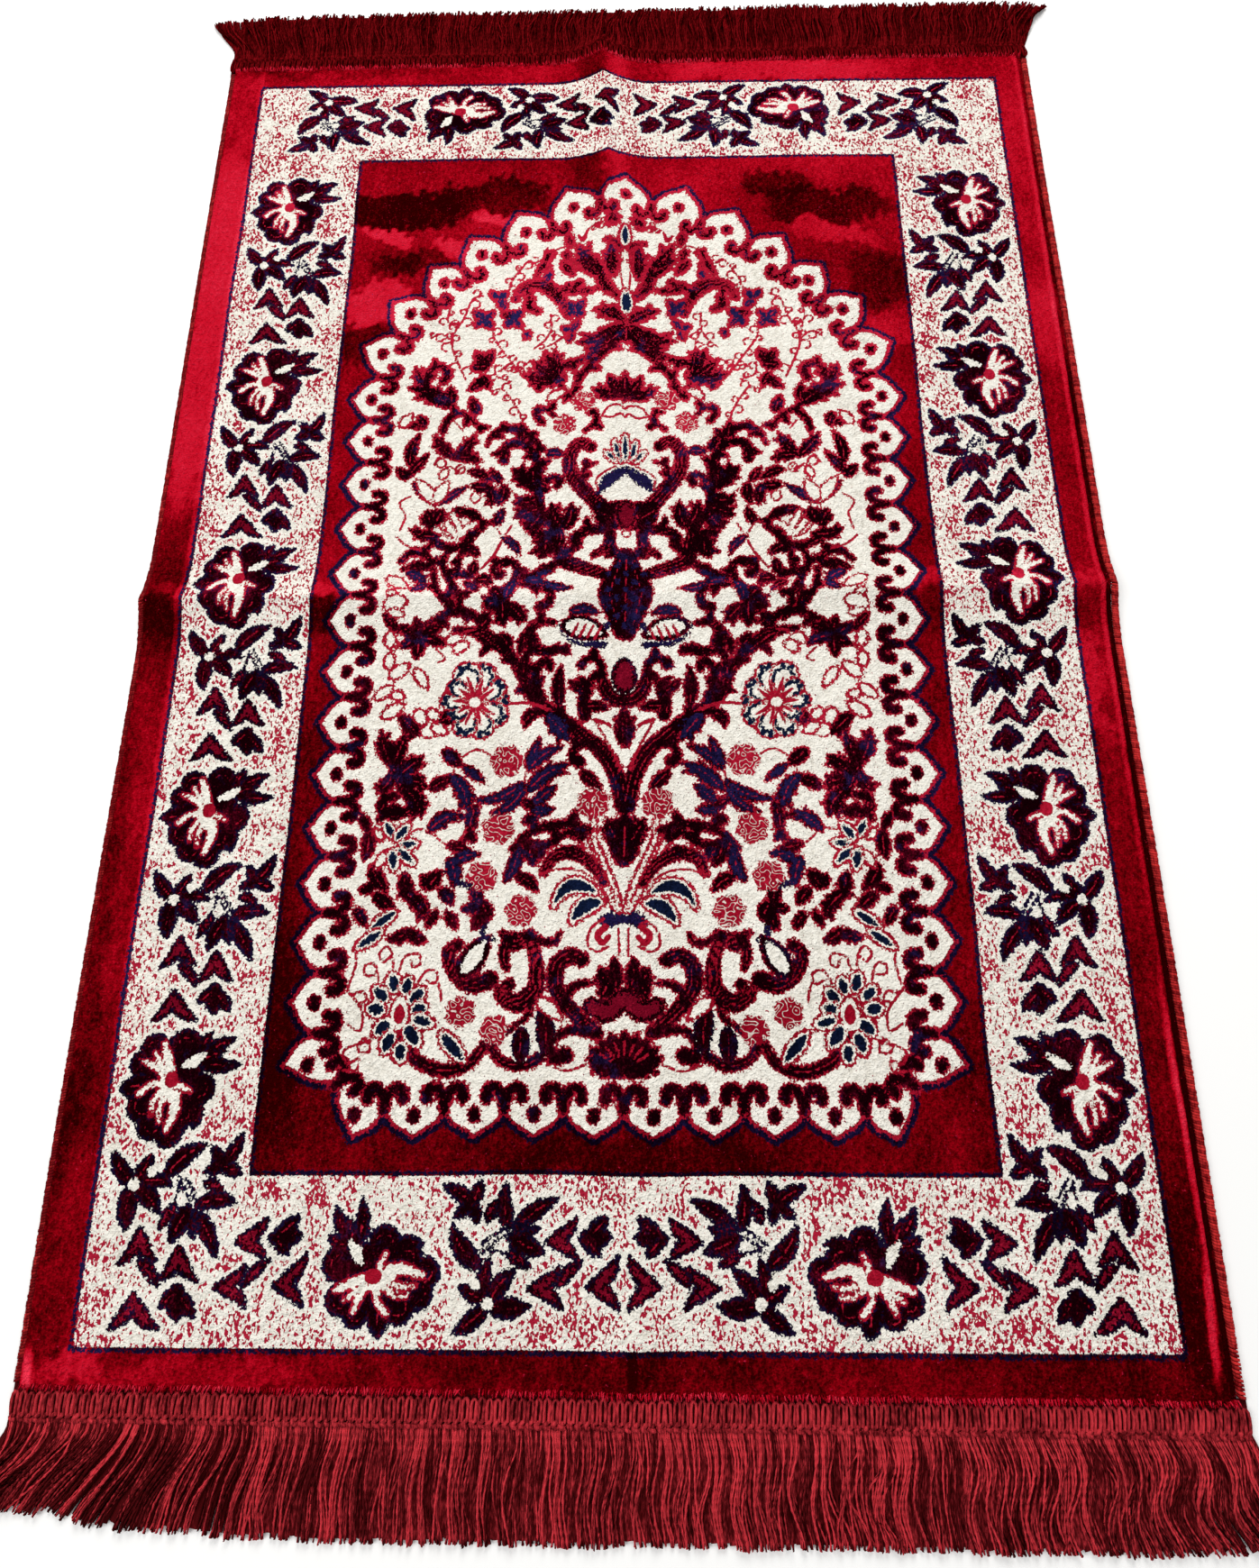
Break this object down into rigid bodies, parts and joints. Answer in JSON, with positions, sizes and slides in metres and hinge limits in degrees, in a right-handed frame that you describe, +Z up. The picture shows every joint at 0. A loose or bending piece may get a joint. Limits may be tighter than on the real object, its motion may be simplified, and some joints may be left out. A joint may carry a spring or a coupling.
{
  "type": "prayer rug",
  "caption": "Velvet pile prayer rug lying open and flat, with fold creases across and along, overlocked side edges and a yarn fringe at both ends.",
  "frame": {"origin": "on the floor under the middle of the rug, fringes included", "axes": "+X to the right across the width, +Y along the length towards the niche's tip, +Z up out of the pile"},
  "size_m": [0.7358, 1.1145, 0.0172],
  "materials": {
    "pile": "cut velvet pile, crimson, cream, navy and maroon in a woven pattern",
    "binding": "overlocked yarn, deep red",
    "yarn": "two-ply twisted yarn, deep red"
  },
  "bodies": {
    "root": {"pile_cloth": "pile", "binding_left": "binding", "binding_right": "binding", "fringe_near": "yarn", "fringe_far": "yarn"}
  },
  "joints": []
}
